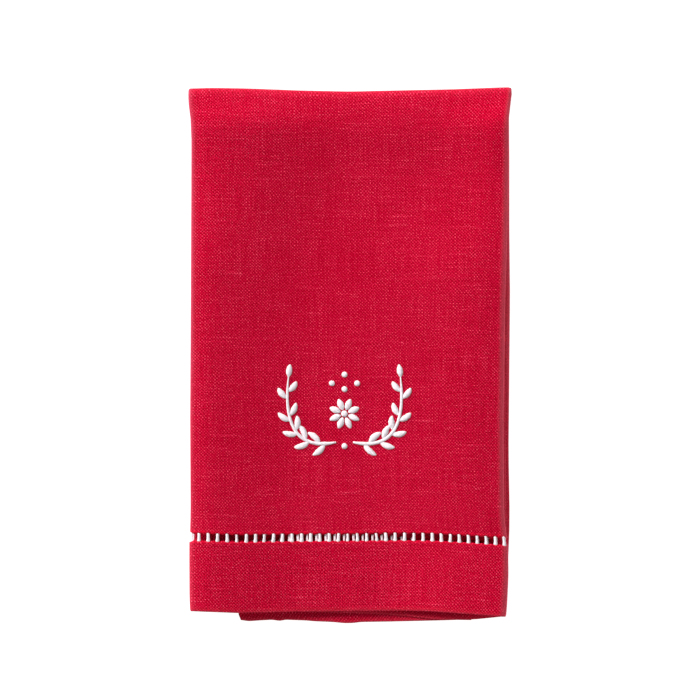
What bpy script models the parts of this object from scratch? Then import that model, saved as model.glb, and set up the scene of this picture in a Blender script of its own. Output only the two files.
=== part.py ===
"""Hand towel of plain-woven linen, lying folded on its back with its front panel up.

The cloth is one sheet. It is folded in three along its length: the right flap and then the left flap
lie behind the front panel. That strip is folded in three across: the front part with the deep hem,
the top fold, the back part, a hidden bottom fold, and the last part turned in between the two.
Tables and sizes here are in millimetres, measured from the middle of the towel's outline, with
+X to the right of the front panel, +Y towards the top fold and +Z up.
"""

import math
from collections import namedtuple

import bmesh
import bpy
import numpy as np

# Driving dimensions (mm)
SHEET = 1.0  # thickness of the cloth's solid
LAYER_GAP = 0.35  # clear space between two layers
PITCH = SHEET + LAYER_GAP
LEFT_FLAP_SHARE = 0.9  # how much of the panel's flat stretch the left flap covers from the left fold
TOP_FOLD_RADIUS = 2.5 * PITCH  # middle of the outermost layer, round six layers
BOTTOM_LINE = -102.0  # y of the hidden bottom fold's outer face
LAST_PART_LENGTH = 133.0  # cloth turned in between front and back
LAST_PART_INSET = 1.2  # the turned-in part is this much narrower on each side
UNDERSIDE_HOLLOW = 0.05  # the folds are bulkier than the middle, so the back stands on its corners
LADDER_ABOVE_HEM = 30.6  # middle of the drawn line above the hem's lower edge
LADDER_HEIGHT = 3.5
LADDER_BARS = 34
LADDER_BAR_WIDTH = 1.55
LADDER_RAIL = 0.8  # height of the thread line that joins the bars' feet
THREAD_THICKNESS = 0.5
SEAT_GAP = 0.3  # between the cloth and what is stitched on it
MOTIF_THICKNESS = 0.6
MOTIF_CENTRE = (-2.3, -22.6)
BRANCH_LEAVES = 5
LEAF_REACH = 3.5  # from the stem to a leaf's tip
STEM_HALF_WIDTH = 0.6
FLOWER_RADIUS = 6.4
FLOWER_PETALS = 8
PETAL_DEPTH = 1.7
DOT_RADIUS = 1.2

# Places in the motif, counted from its centre: the right branch's start, bend and tip, and the rest
BRANCH_ROUTE = ((3.5, -13.0), (24.0, -18.0), (22.0, 14.5))
LEAF_CELLS = 6
FLOWER_CENTRE = (0.0, -1.5)
DOT_CENTRES = ((0.0, 8.6), (-5.2, 11.0), (5.2, 11.0), (0.0, 14.6), (0.0, -14.8))

# Heights of the middle of the sheet: the front part's outer layer over nine layers, the last part's
# outer layer over six, and the middle of both cross folds
FRONT_HEIGHT = SHEET / 2 + 8 * PITCH
LAST_HEIGHT = SHEET / 2 + 5 * PITCH
CROSS_FOLD_HEIGHT = SHEET / 2 + TOP_FOLD_RADIUS

# The front part comes down to the top fold: a little past the last part's end, then in a rounded brow
SLOPE_START = 34.0
SLOPE_LENGTH = 46.0
BROW_LENGTH = 24.0
BROW_DROP = 3.0
BROW_ANGLE = math.atan(2 * BROW_DROP / BROW_LENGTH)
SLOPE_DROP = FRONT_HEIGHT - CROSS_FOLD_HEIGHT - TOP_FOLD_RADIUS * math.cos(BROW_ANGLE) - BROW_DROP

# Side folds, one row for each height: outer faces of the left and the right fold
Sides = namedtuple("Sides", "y left right")
FRONT_SIDES = (
    Sides(-105.7, -65.6, 63.8),
    Sides(-100.8, -66.2, 64.2),
    Sides(-86.4, -66.1, 64.2),
    Sides(-76.0, -65.9, 65.0),
    Sides(-63.7, -65.5, 63.7),
    Sides(-26.7, -65.8, 63.5),
    Sides(22.7, -65.3, 63.7),
    Sides(80.0, -65.2, 63.8),
    Sides(92.6, -65.1, 63.9),
    Sides(97.6, -65.7, 64.4),
    Sides(102.0, -66.3, 65.8),
    Sides(104.5, -66.3, 66.3),
)
BACK_SIDES = (
    Sides(-100.0, -65.0, 64.6),
    Sides(-84.0, -65.0, 65.3),
    Sides(-71.0, -65.0, 65.8),
    Sides(-43.0, -65.0, 65.1),
    Sides(22.7, -65.0, 65.7),
    Sides(51.0, -64.9, 65.4),
    Sides(80.0, -64.9, 65.8),
    Sides(97.6, -65.6, 65.6),
    Sides(104.5, -66.3, 66.3),
)

# The hem's lower edge. `run` counts across the cloth: 0 is the right flap's free edge, 1 the right
# fold, 2 the left fold and 3 the left flap's free edge.
Hem = namedtuple("Hem", "run y")
HEM_LINE = (
    Hem(0.00, -109.1),
    Hem(0.25, -109.1),
    Hem(0.42, -110.0),
    Hem(0.57, -109.5),
    Hem(0.75, -109.0),
    Hem(0.90, -108.5),
    Hem(1.00, -107.4),
    Hem(1.12, -106.2),
    Hem(1.24, -105.2),
    Hem(1.33, -105.0),
    Hem(1.55, -105.3),
    Hem(1.71, -105.6),
    Hem(1.85, -106.0),
    Hem(1.93, -105.6),
    Hem(2.00, -105.3),
    Hem(2.40, -105.5),
    Hem(2.58, -106.0),
    Hem(2.70, -106.5),
    Hem(2.88, -108.6),
    Hem(3.00, -108.8),
)

HEM_MIDDLE = -105.2  # y of the hem at the middle of the front panel

# The top fold's outer face: it sags in the middle
Top = namedtuple("Top", "x y")
TOP_LINE = (
    Top(-66.0, 109.5),
    Top(-57.0, 109.8),
    Top(-42.0, 109.5),
    Top(-20.0, 108.7),
    Top(0.0, 108.4),
    Top(20.0, 108.8),
    Top(42.0, 109.3),
    Top(60.0, 110.1),
    Top(66.0, 110.2),
)

# The right flap's free edge under the front panel
Edge = namedtuple("Edge", "y x")
RIGHT_FLAP_EDGE = (Edge(-109.0, -45.4), Edge(-90.0, -44.8), Edge(-60.0, -41.8), Edge(110.0, -41.5))

# Relief of the front layer above a tight stack: the side folds are bulkier than the middle, so the
# layer rises to a crest beside each of them. A width or length is the distance of a rise or a fade.
LEFT_CREST = 1.3
LEFT_RISE_WIDTH = 11.0
LEFT_FALL_START = -52.0
LEFT_FALL_WIDTH = 44.0
RIGHT_CREST = 2.0
RIGHT_CREST_X = 57.0
RIGHT_FALL_WIDTH = 8.0
RELIEF_TOP_LENGTH = 16.0
Rise = namedtuple("Rise", "y start")
RIGHT_RISE = (Rise(-110.0, -22.0), Rise(-60.0, -18.0), Rise(22.0, -2.0), Rise(68.0, 22.0), Rise(104.0, 34.0))

# Stations of the grid: distances across the front panel from the left fold, and shares of a length
PANEL_STATIONS = (0, 3, 6, 9, 12.5, 18, 25, 33, 42, 51, 60, 69, 78, 87, 96, 104, 111, 117, 120, 122.5,
                  125, 127.3)
CLOSE_SHARE = 0.02  # a station nearer than this to the left flap's edge is left out
RIGHT_FLAP_CELLS = 7
SIDE_FOLD_CELLS = 6
FRONT_STATIONS = (0, 0.025, 0.06, 0.1, 0.14, 0.19, 0.25, 0.31, 0.38, 0.45, 0.52, 0.59, 0.66, 0.72, 0.78,
                  0.83, 0.87, 0.9, 0.93, 0.955, 0.98, 1)
CROSS_FOLD_CELLS = 7
BACK_STATIONS = (0, 0.04, 0.1, 0.25, 0.45, 0.65, 0.85, 1)
LAST_CELLS = 4

# Colours (linear) from the cloth and the thread
RED_LINEN = (0.545, 0.0052, 0.0331)
WHITE_THREAD = (0.88, 0.86, 0.83)

MM = 0.001


def follow(rows, column, by, at):
    """Read a table's column at a value of another column, straight between its rows."""
    known = [getattr(row, by) for row in rows]
    return float(np.interp(at, known, [getattr(row, column) for row in rows]))


def ease(share):
    """0 below 0, 1 above 1 and a soft rise between."""
    share = min(max(share, 0.0), 1.0)
    return share * share * (3 - 2 * share)


def mix(start, end, share):
    return start + (end - start) * share


def fold_centre(x):
    """The y that the top fold turns round, for one place across the towel."""
    return follow(TOP_LINE, "y", "x", x) - TOP_FOLD_RADIUS - SHEET / 2


def fold_start(x):
    """The y of the outer layer where the front part passes into the top fold."""
    return fold_centre(x) + TOP_FOLD_RADIUS * math.sin(BROW_ANGLE)


def panel_span(left, right):
    """Flat stretch of the front panel, between the side folds' centres."""
    return left + SHEET / 2 + PITCH / 2, right - SHEET / 2 - PITCH


def front_base(x, y):
    """Height and downward slope angle of the front part's outer layer, without its relief."""
    over_brow = max(0.0, 1 - (fold_start(x) - y) / BROW_LENGTH)
    height = FRONT_HEIGHT - SLOPE_DROP * ease((y - SLOPE_START) / SLOPE_LENGTH)
    return height - BROW_DROP * over_brow ** 2, math.atan(2 * BROW_DROP * over_brow / BROW_LENGTH)


def front_relief(x, y, span):
    """Rise of the front layer to a crest beside each side fold, with a shallow valley between."""
    left = LEFT_CREST * ease((x - span[0]) / LEFT_RISE_WIDTH)
    left *= 1 - ease((x - LEFT_FALL_START) / LEFT_FALL_WIDTH)
    start = follow(RIGHT_RISE, "start", "y", y)
    right = RIGHT_CREST * ease((x - start) / (RIGHT_CREST_X - start))
    right *= ease((span[1] - x) / RIGHT_FALL_WIDTH)
    return (left + right) * ease((fold_start(x) - y) / RELIEF_TOP_LENGTH)


def hem_run(x, span):
    """`run` on the front panel: 1 at the right fold, 2 at the left fold."""
    return 1 + (span[1] - x) / (span[1] - span[0])


def stations_across():
    """Stations from the right flap's free edge, round the panel, to the left flap's free edge."""
    stations = [("right flap", i / RIGHT_FLAP_CELLS) for i in range(RIGHT_FLAP_CELLS)]
    stations += [("right fold", i / SIDE_FOLD_CELLS) for i in range(SIDE_FOLD_CELLS)]
    widest = PANEL_STATIONS[-1]
    stations += [("panel", distance / widest) for distance in reversed(PANEL_STATIONS[1:])]
    stations += [("left fold", i / SIDE_FOLD_CELLS) for i in range(SIDE_FOLD_CELLS)]
    shares = [distance / widest for distance in PANEL_STATIONS]
    stations += [("left flap", share) for share in shares if share < LEFT_FLAP_SHARE - CLOSE_SHARE]
    return stations + [("left flap", LEFT_FLAP_SHARE)]


def stations_along():
    """Stations from the hem up the front, over the top fold, down the back and up the last part."""
    stations = [("front", share) for share in FRONT_STATIONS[:-1]]
    stations += [("top fold", i / CROSS_FOLD_CELLS) for i in range(CROSS_FOLD_CELLS)]
    stations += [("back", share) for share in BACK_STATIONS[:-1]]
    stations += [("bottom fold", i / CROSS_FOLD_CELLS) for i in range(CROSS_FOLD_CELLS)]
    return stations + [("last", i / LAST_CELLS) for i in range(LAST_CELLS + 1)]


def sides_at(part, share):
    """Left and right fold of the strip at a station along it, and the y where they are read."""
    low, high = HEM_MIDDLE, fold_centre(0)
    if part in ("front", "top fold"):
        y = mix(low, high, share) if part == "front" else high
        return follow(FRONT_SIDES, "left", "y", y), follow(FRONT_SIDES, "right", "y", y), y
    if part == "back":
        y = mix(high, BOTTOM_LINE, share)
        return follow(BACK_SIDES, "left", "y", y), follow(BACK_SIDES, "right", "y", y), y
    left, right = BACK_SIDES[0].left, BACK_SIDES[0].right
    inset = LAST_PART_INSET * (share if part == "last" else 0)
    return left + inset, right - inset, BOTTOM_LINE


def back_lift(x, sides, share):
    """Rise of the back part above its four corners: a parabola across plus a parabola along."""
    start, end = panel_span(sides[0], sides[1])
    out_x = 2 * (x - start) / (end - start) - 1
    out_y = 2 * share - 1
    return UNDERSIDE_HOLLOW / 2 * (max(0.0, 1 - out_x ** 2) + 1 - out_y ** 2)


def across(station, sides):
    """x, depth behind the front panel and `run` at a station across the strip."""
    place, share = station
    start, end = panel_span(sides[0], sides[1])
    if place == "right flap":
        edge = follow(RIGHT_FLAP_EDGE, "x", "y", sides[2])
        return mix(edge, end, share), 2 * PITCH, share
    if place == "right fold":
        angle = math.pi * share
        return end + PITCH * math.sin(angle), PITCH + PITCH * math.cos(angle), 1.0
    if place == "panel":
        return mix(start, end, share), 0.0, 2 - share
    if place == "left fold":
        angle = math.pi * share
        return start - PITCH / 2 * math.sin(angle), PITCH / 2 - PITCH / 2 * math.cos(angle), 2.0
    return mix(start, end, share), PITCH, 2 + share / LEFT_FLAP_SHARE


def sheet_point(across_station, along_station):
    """Place (mm) of a station of the folded sheet's middle surface."""
    part, share = along_station
    sides = sides_at(part, share)
    x, depth, run = across(across_station, sides)
    centre = fold_centre(x)
    turn = TOP_FOLD_RADIUS - depth
    bottom = BOTTOM_LINE + TOP_FOLD_RADIUS + SHEET / 2
    if part == "front":
        y = mix(follow(HEM_LINE, "y", "run", run), fold_start(x), share)
        z, angle = front_base(x, y)
        if across_station[0] == "panel":
            z += front_relief(x, y, panel_span(sides[0], sides[1]))
        y -= depth * math.sin(angle)
        z -= depth * math.cos(angle)
    elif part == "top fold":
        angle = mix(BROW_ANGLE, math.pi, share)
        y = centre + turn * math.sin(angle)
        z = CROSS_FOLD_HEIGHT + turn * math.cos(angle)
    elif part == "back":
        y = mix(centre, bottom, share)
        z = SHEET / 2 + depth + back_lift(x, sides, share)
    elif part == "bottom fold":
        angle = math.pi * share
        y = bottom - turn * math.sin(angle)
        z = CROSS_FOLD_HEIGHT - turn * math.cos(angle)
    else:
        y = bottom + LAST_PART_LENGTH * share
        z = LAST_HEIGHT - depth
    return x, y, z


def front_skin(x, y, lift):
    """Place (mm) on the front panel, raised by `lift` above the cloth's middle surface."""
    sides = [follow(FRONT_SIDES, side, "y", y) for side in ("left", "right")]
    height = front_base(x, y)[0] + front_relief(x, y, panel_span(*sides))
    return x, y, height + lift


def thread_material(name, colour, roughness):
    material = bpy.data.materials.new(name)
    material.use_nodes = True
    shader = material.node_tree.nodes["Principled BSDF"]
    shader.inputs["Base Color"].default_value = (*colour, 1.0)
    shader.inputs["Roughness"].default_value = roughness
    shader.inputs["Metallic"].default_value = 0.0
    material.diffuse_color = (*colour, 1.0)
    return material


def finish_piece(name, bm, thickness, material, collection):
    """Make an object of an open surface and give it its thickness."""
    mesh = bpy.data.meshes.new(name)
    bm.to_mesh(mesh)
    bm.free()
    mesh.shade_smooth()
    mesh.materials.append(material)
    piece = bpy.data.objects.new(name, mesh)
    collection.objects.link(piece)
    solid = piece.modifiers.new("thickness", "SOLIDIFY")
    solid.thickness = thickness * MM
    solid.offset = 0.0
    return piece


def grid_surface(columns, rows, point, is_hole=None):
    """A flat grid whose crossing (i, j) is moved to point(i, j), given in mm.

    `is_hole(i, j)` names the cells that are left out, by their column and row.
    """
    bm = bmesh.new()
    bmesh.ops.create_grid(bm, x_segments=columns, y_segments=rows, size=1.0)
    if is_hole is not None:
        holes = []
        for face in bm.faces:
            middle = face.calc_center_median()
            if is_hole(int((middle.x + 1) / 2 * columns), int((middle.y + 1) / 2 * rows)):
                holes.append(face)
        bmesh.ops.delete(bm, geom=holes, context="FACES")
    for vertex in bm.verts:
        i = round((vertex.co.x + 1) / 2 * columns)
        j = round((vertex.co.y + 1) / 2 * rows)
        vertex.co = [value * MM for value in point(i, j)]
    return bm


def make_cloth(material, collection):
    """The towel's one sheet, folded in three both ways."""
    across_stations = stations_across()
    along_stations = stations_along()

    def point(i, j):
        return sheet_point(across_stations[i], along_stations[j])

    bm = grid_surface(len(across_stations) - 1, len(along_stations) - 1, point)
    bmesh.ops.reverse_faces(bm, faces=bm.faces)
    return finish_piece("linen_cloth", bm, SHEET, material, collection)


def make_ladder(material, collection):
    """White bars over the drawn line, joined at their feet by two lines of stitches."""
    line_height = HEM_MIDDLE + LADDER_ABOVE_HEM
    span = panel_span(*(follow(FRONT_SIDES, side, "y", line_height) for side in ("left", "right")))
    pitch = (span[1] - span[0]) / LADDER_BARS
    lift = SHEET / 2 + SEAT_GAP + THREAD_THICKNESS / 2
    half = LADDER_HEIGHT / 2
    heights = (-half, LADDER_RAIL - half, half - LADDER_RAIL, half)

    def point(i, j):
        side = 1 if i % 2 else -1
        x = span[0] + (i // 2 + 0.5) * pitch + side * LADDER_BAR_WIDTH / 2
        hem = follow(HEM_LINE, "y", "run", hem_run(x, span))
        return front_skin(x, hem + LADDER_ABOVE_HEM + heights[j], lift)

    bm = grid_surface(2 * LADDER_BARS - 1, 3, point, lambda i, j: j == 1 and i % 2 == 1)
    return finish_piece("hemstitch_ladder", bm, THREAD_THICKNESS, material, collection)


def motif_skin(x, y):
    """Place (mm) on the front panel of a point counted from the motif's centre."""
    lift = SHEET / 2 + SEAT_GAP + MOTIF_THICKNESS / 2
    return front_skin(MOTIF_CENTRE[0] + x, MOTIF_CENTRE[1] + y, lift)


def branch_point(side, share, across_share):
    """A curved leafy branch: leaves on both sides of its stem, slanting towards its tip."""
    start, bend, tip = BRANCH_ROUTE
    x = mix(mix(start[0], bend[0], share), mix(bend[0], tip[0], share), share)
    y = mix(mix(start[1], bend[1], share), mix(bend[1], tip[1], share), share)
    run_x = mix(bend[0] - start[0], tip[0] - bend[0], share)
    run_y = mix(bend[1] - start[1], tip[1] - bend[1], share)
    length = math.hypot(run_x, run_y)
    run_x, run_y = run_x / length, run_y / length
    lobe = abs(math.sin(math.pi * BRANCH_LEAVES * share)) ** 0.8
    reach = STEM_HALF_WIDTH + LEAF_REACH * lobe * (1 - 0.35 * share)
    out = across_share * reach
    slant = 0.9 * LEAF_REACH * lobe * abs(across_share)
    return side * (x - run_y * out + run_x * slant), y + run_x * out + run_y * slant


def make_branch(name, side, material, collection):
    """One leafy branch of the spray; `side` is 1 for the right and -1 for the left."""
    cells = BRANCH_LEAVES * LEAF_CELLS

    def point(i, j):
        return motif_skin(*branch_point(side, i / cells, j - 1))

    bm = grid_surface(cells, 2, point)
    if side < 0:
        bmesh.ops.reverse_faces(bm, faces=bm.faces)
    return finish_piece(name, bm, MOTIF_THICKNESS, material, collection)


def make_disc(name, centre, radius_at, corners, material, collection):
    """A stitched patch whose outline is radius_at(angle) round a centre."""
    bm = bmesh.new()
    bmesh.ops.create_circle(bm, cap_ends=True, cap_tris=True, segments=corners, radius=1.0)
    for vertex in bm.verts:
        angle = math.atan2(vertex.co.y, vertex.co.x)
        radius = radius_at(angle) * vertex.co.xy.length
        x, y = centre[0] + radius * math.cos(angle), centre[1] + radius * math.sin(angle)
        vertex.co = [value * MM for value in motif_skin(x, y)]
    return finish_piece(name, bm, MOTIF_THICKNESS, material, collection)


def petal_outline(angle):
    return FLOWER_RADIUS - PETAL_DEPTH * (1 - abs(math.cos(FLOWER_PETALS * angle / 2)))


def make_motif(material, collection):
    """The embroidered spray: two leafy branches, a flower between them and loose dots."""
    pieces = [
        make_branch("motif_branch_left", -1, material, collection),
        make_branch("motif_branch_right", 1, material, collection),
        make_disc("motif_flower", FLOWER_CENTRE, petal_outline, FLOWER_PETALS * 6, material, collection),
    ]
    for number, centre in enumerate(DOT_CENTRES, start=1):
        name = f"motif_dot_{number}"
        pieces.append(make_disc(name, centre, lambda angle: DOT_RADIUS, 12, material, collection))
    return pieces


def main():
    for old in list(bpy.data.objects):
        bpy.data.objects.remove(old, do_unlink=True)
    towel = bpy.data.collections.new("hand_towel")
    bpy.context.scene.collection.children.link(towel)
    red = thread_material("red_linen", RED_LINEN, 0.85)
    white = thread_material("white_thread", WHITE_THREAD, 0.55)
    make_cloth(red, towel)
    make_ladder(white, towel)
    make_motif(white, towel)


if __name__ == "__main__":
    main()
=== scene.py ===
# %% [markdown]
# # A folded linen hand towel
#
# The towel is one cut length of plain-woven red linen with a deep hem, a line of hemstitching
# above the hem and a white embroidered spray. It lies on its back, folded in three along its
# length and in three across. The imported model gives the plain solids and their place. This script
# gives them their looks: the thin cloth on its folds, the open ladder of white bars, the raised
# stitches and the weave.

# %% Load the frame
from collections import namedtuple

import bpy
import numpy as np
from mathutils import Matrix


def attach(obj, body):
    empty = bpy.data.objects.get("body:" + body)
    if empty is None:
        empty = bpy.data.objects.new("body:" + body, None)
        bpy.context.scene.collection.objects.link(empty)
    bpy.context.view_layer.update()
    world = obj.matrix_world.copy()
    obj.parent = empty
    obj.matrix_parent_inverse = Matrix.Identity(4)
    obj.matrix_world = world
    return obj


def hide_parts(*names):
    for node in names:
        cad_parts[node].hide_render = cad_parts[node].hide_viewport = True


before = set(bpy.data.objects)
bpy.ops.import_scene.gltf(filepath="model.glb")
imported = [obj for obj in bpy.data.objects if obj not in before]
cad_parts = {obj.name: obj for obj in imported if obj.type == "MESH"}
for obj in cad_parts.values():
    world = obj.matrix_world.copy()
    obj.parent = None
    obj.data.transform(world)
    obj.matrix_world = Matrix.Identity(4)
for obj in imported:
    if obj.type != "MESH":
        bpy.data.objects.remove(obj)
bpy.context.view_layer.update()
MM = 0.001  # the script works in millimetres, and meshes hold metres

# %% [markdown]
# ## Camera
#
# The picture was taken face on, from straight above the towel. A camera that is far away and has
# a long lens keeps the sides parallel, as a product photographer does. The lens follows from how
# many millimetres the frame covers at the height of the cloth, so it can be worked out and not
# guessed.

# %% Camera
PICTURE_WIDTH = 700 / 2.434  # mm across the frame: 700 pixels at 2.434 pixels a millimetre
CAMERA_HEIGHT = 6000.0
CLOTH_TOP = 12.0  # mm above the floor, where the scale is true
VIEW_CENTRE = (-0.04, 2.1)
SENSOR = 36.0

lens = bpy.data.cameras.new("camera")
lens.sensor_width = SENSOR
lens.lens = SENSOR * (CAMERA_HEIGHT - CLOTH_TOP) / PICTURE_WIDTH
camera = bpy.data.objects.new("camera", lens)
camera.location = (VIEW_CENTRE[0] * MM, VIEW_CENTRE[1] * MM, CAMERA_HEIGHT * MM)
bpy.context.collection.objects.link(camera)
bpy.context.scene.camera = camera
print("lens (mm):", round(lens.lens, 1))

# %% [markdown]
# ## Light and floor
#
# A soft box from the upper left models the stitches. A second one, larger and almost level with
# the cloth, rakes over it, because raking light is what shows a relief of two or three
# millimetres. A white card from the lower right and an even white surround fill the shadows. All
# stand far away, so that the light is as strong at the hem as at the top. The floor glows like a
# light table, so it stays white.

# %% Light and floor
def table(columns, *rows):
    """Measured rows whose columns have names."""
    row_kind = namedtuple("row_kind", columns)
    return [row_kind(*row) for row in rows]


SOFT_BOXES = table(
    "name across_floor height_deg distance size watts",
    ("key_softbox", (-0.62, 0.78), 34.0, 9000.0, 2700.0, 480.0),
    ("raking_softbox", (-0.80, 0.60), 14.0, 9000.0, 4100.0, 1120.0),
    ("white_card", (0.90, -0.44), 45.0, 9000.0, 4600.0, 225.0),
)
FILL_STRENGTH = 0.15
FLOOR_GLOW = 0.95
FLOOR_TONE = 0.35

for box in SOFT_BOXES:
    height = np.radians(box.height_deg)
    flat_part = np.cos(height) / np.hypot(*box.across_floor)
    towards = np.array([*(np.array(box.across_floor) * flat_part), np.sin(height)])
    light = bpy.data.lights.new(box.name, "AREA")
    light.size = box.size * MM
    light.energy = box.watts
    lamp = bpy.data.objects.new(box.name, light)
    lamp.location = towards * box.distance * MM
    lamp.rotation_euler = (0, np.pi / 2 - height, np.arctan2(towards[1], towards[0]))
    bpy.context.collection.objects.link(lamp)
    print(box.name, "shines from", towards.round(2))

world = bpy.data.worlds.new("white_surround")
world.use_nodes = True
world.node_tree.nodes["Background"].inputs["Color"].default_value = (1, 1, 1, 1)
world.node_tree.nodes["Background"].inputs["Strength"].default_value = FILL_STRENGTH
bpy.context.scene.world = world
bpy.context.scene.view_settings.view_transform = "Standard"

floor_paint = bpy.data.materials.new("pale_floor")
floor_paint.use_nodes = True
floor_shader = floor_paint.node_tree.nodes["Principled BSDF"]
for socket, value in {
    "Base Color": (FLOOR_TONE, FLOOR_TONE, FLOOR_TONE, 1), "Roughness": 0.9,
    "Specular IOR Level": 0.0, "Emission Color": (1, 1, 1, 1), "Emission Strength": FLOOR_GLOW,
}.items():
    floor_shader.inputs[socket].default_value = value
floor_mesh = bpy.data.meshes.new("floor")
FLOOR_REACH = 3.0  # m from the middle to each side
corners = [(x * FLOOR_REACH, y * FLOOR_REACH, 0) for x, y in ((-1, -1), (1, -1), (1, 1), (-1, 1))]
floor_mesh.from_pydata(corners, [], [(0, 1, 2, 3)])
floor_mesh.materials.append(floor_paint)
floor = bpy.data.objects.new("floor", floor_mesh)
bpy.context.collection.objects.link(floor)
print("floor glow:", FLOOR_GLOW)

# %% [markdown]
# ## The folded shape, as numbers
#
# A cloth can be folded by simulation, but then nobody can say where an edge will land. Here every
# fold is a half circle between flat stretches, as in paper folding, and a few measured rows bend
# those stretches until the outline is as uneven as the real one. The same sizes shape the solids.

# %% Sizes of the folded stack
SHEET = 0.5  # thickness of the single cloth
PITCH = 1.35  # from one layer to the next
TOP_FOLD_RADIUS = 2.5 * PITCH
BOTTOM_LINE = -102.0
HEM_MIDDLE = -105.2
FRONT_HEIGHT = SHEET / 2 + 8 * PITCH  # middle of the front layer, over eight more
LAST_HEIGHT = SHEET / 2 + 5 * PITCH
CROSS_FOLD_HEIGHT = SHEET / 2 + TOP_FOLD_RADIUS

FRONT_SIDES = table(
    "y left right", (-105.7, -65.3, 63.6), (-100.8, -65.6, 64.1), (-86.4, -65.7, 64.8),
    (-76.0, -65.7, 64.9), (-63.7, -65.4, 63.2), (-26.7, -65.6, 62.9), (22.7, -65.3, 63.65),
    (51.0, -65.2, 64.5), (80.0, -65.1, 65.2), (92.6, -65.1, 65.1), (97.6, -65.8, 65.2),
    (102.0, -66.4, 65.6), (104.5, -66.4, 66.6),
)
BACK_SIDES = table(
    "y left right", (-100.0, -65.0, 64.4), (-84.0, -65.0, 65.1), (-71.0, -65.0, 65.6),
    (-43.0, -65.0, 65.1), (22.7, -65.0, 65.7), (51.0, -64.9, 65.4), (80.0, -64.9, 65.4),
    (97.6, -65.6, 65.2), (104.5, -66.3, 66.4),
)
HEM_LINE = table(  # run: 0 and 3 the flaps' free edges, 1 the right fold, 2 the left
    "run y", (0.00, -108.9), (0.03, -109.4), (0.07, -109.1), (0.12, -108.8), (0.15, -109.3),
    (0.17, -108.8), (0.25, -109.1), (0.28, -109.4), (0.35, -109.7), (0.40, -110.2),
    (0.43, -110.1), (0.46, -109.7), (0.57, -109.5), (0.75, -109.0), (0.90, -108.5),
    (1.00, -107.4), (1.12, -106.2), (1.24, -105.2), (1.33, -105.0), (1.55, -105.3),
    (1.71, -105.6), (1.85, -106.0), (1.93, -105.6), (2.00, -105.3), (2.40, -105.5),
    (2.58, -106.0), (2.70, -106.5), (2.88, -108.6), (3.00, -108.8),
)
TOP_LINE = table(
    "x y", (-66.0, 109.6), (-57.0, 109.9), (-42.0, 109.65), (-20.0, 108.8), (0.0, 108.4),
    (20.0, 108.85), (42.0, 109.3), (60.0, 110.0), (66.0, 110.2),
)
RIGHT_FLAP_EDGE = table(
    "y x", (-109.0, -43.4), (-105.2, -44.9), (-102.4, -46.1), (-98.0, -45.6), (-90.0, -44.8),
    (-60.0, -41.8), (110.0, -41.5),
)
print("front layer at", FRONT_HEIGHT, "mm, top fold", round(2 * TOP_FOLD_RADIUS + SHEET, 2), "mm")

# %% Reading a table softly
SOFTEN = np.linspace(-1, 1, 9)
fading = 1 + np.cos(np.pi * SOFTEN * 0.9)
SOFTEN_WEIGHTS = fading / fading.sum()


def follow(rows, column, by, at, reach):
    """A table's column at values of another column: straight between rows, then averaged over
    `reach` on both sides with weights that fade out as half a cosine wave."""
    known = [getattr(row, by) for row in rows]
    values = [getattr(row, column) for row in rows]
    spots = np.asarray(at, float)[..., None] + reach * SOFTEN
    return np.interp(spots, known, values) @ SOFTEN_WEIGHTS


def ease(share):
    """0 below 0, 1 above 1 and the cubic 3t^2 - 2t^3 between."""
    share = np.clip(share, 0.0, 1.0)
    return share * share * (3 - 2 * share)


def mix(start, end, share):
    return start + (end - start) * share


def step_up(at, start, length):
    """0 up to `start`, 1 from `start + length` on. A name that ends in STEP holds these two."""
    return ease((at - start) / length)


def step_down(at, start, length):
    """1 up to `start`, 0 from `start + length` on."""
    return 1 - step_up(at, start, length)


def bell(distance, width, power=2):
    """A soft hump, 1 at no distance: e to the minus (distance / width) ^ power."""
    return np.exp(-(distance / width) ** power)


TOP_REACH = 6.0
TOP_OUTSET = 0.12  # the top fold is drawn a little full, as its cloth is slack


def fold_centre(x):
    """The y that the top fold turns round."""
    return follow(TOP_LINE, "y", "x", x, TOP_REACH) - TOP_FOLD_RADIUS - SHEET / 2 + TOP_OUTSET


print("top fold's middle line at y", fold_centre([-60, 0, 60]).round(1))

# %% [markdown]
# ## Relief of the front
#
# Nine layers never lie flat. The side folds are bulkier than the middle, so the front rises to a
# soft crest beside each of them, and near the top it bends over the fold in a rounded brow. These
# rises catch the light from the upper left, and they are most of what the eye reads as cloth.
# Each is a smooth step, so it has no crease, and a few long low waves keep it from looking
# machined.

# %% Sizes of the relief
SLOPE_STEP = (34.0, 46.0)  # the front sinks here towards the thinner top fold
BROW_LENGTH = 17.0
BROW_DROP = 2.8
BROW_ANGLE = np.arctan(2 * BROW_DROP / BROW_LENGTH)
SLOPE_DROP = FRONT_HEIGHT - CROSS_FOLD_HEIGHT - TOP_FOLD_RADIUS * np.cos(BROW_ANGLE) - BROW_DROP
HIGH_STEP = (25.0, 50.0)  # where the crests pass from their low form to their high one
LEFT_CREST = 1.2
LEFT_TOP_CREST = 0.8  # more of it, high on the towel
LEFT_RISE_WIDTH = (12.0, 22.0)  # low and high on the towel, as in every pair of crest sizes
LEFT_FALL_START = (-56.0, -42.0)
LEFT_FALL_WIDTH = 40.0
RIGHT_CREST = (5.0, 3.1)
RIGHT_STEEPEST = (0.75, 0.88)  # share of the rise at which it is steepest
RIGHT_RISE = table(
    "y start", (-110.0, -38.0), (-60.0, -36.0), (22.0, -30.0), (68.0, 8.0), (104.0, 28.0),
)
RISE_REACH = 12.0
CREST_INSET = 1.5  # from the right crest to where the fold begins
RIGHT_DROP, DROP_REACH = 0.06, 3.0  # the crest has sunk by the first after the second
HEM_CURL = 2.6  # the doubled hem curls up towards its edge, in its right half
HEM_CURL_START, HEM_CURL_LENGTH = -76.0, 34.0
HEM_CURL_STEP = (5.0, 40.0)
RELIEF_TOP_LENGTH = 13.0
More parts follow.
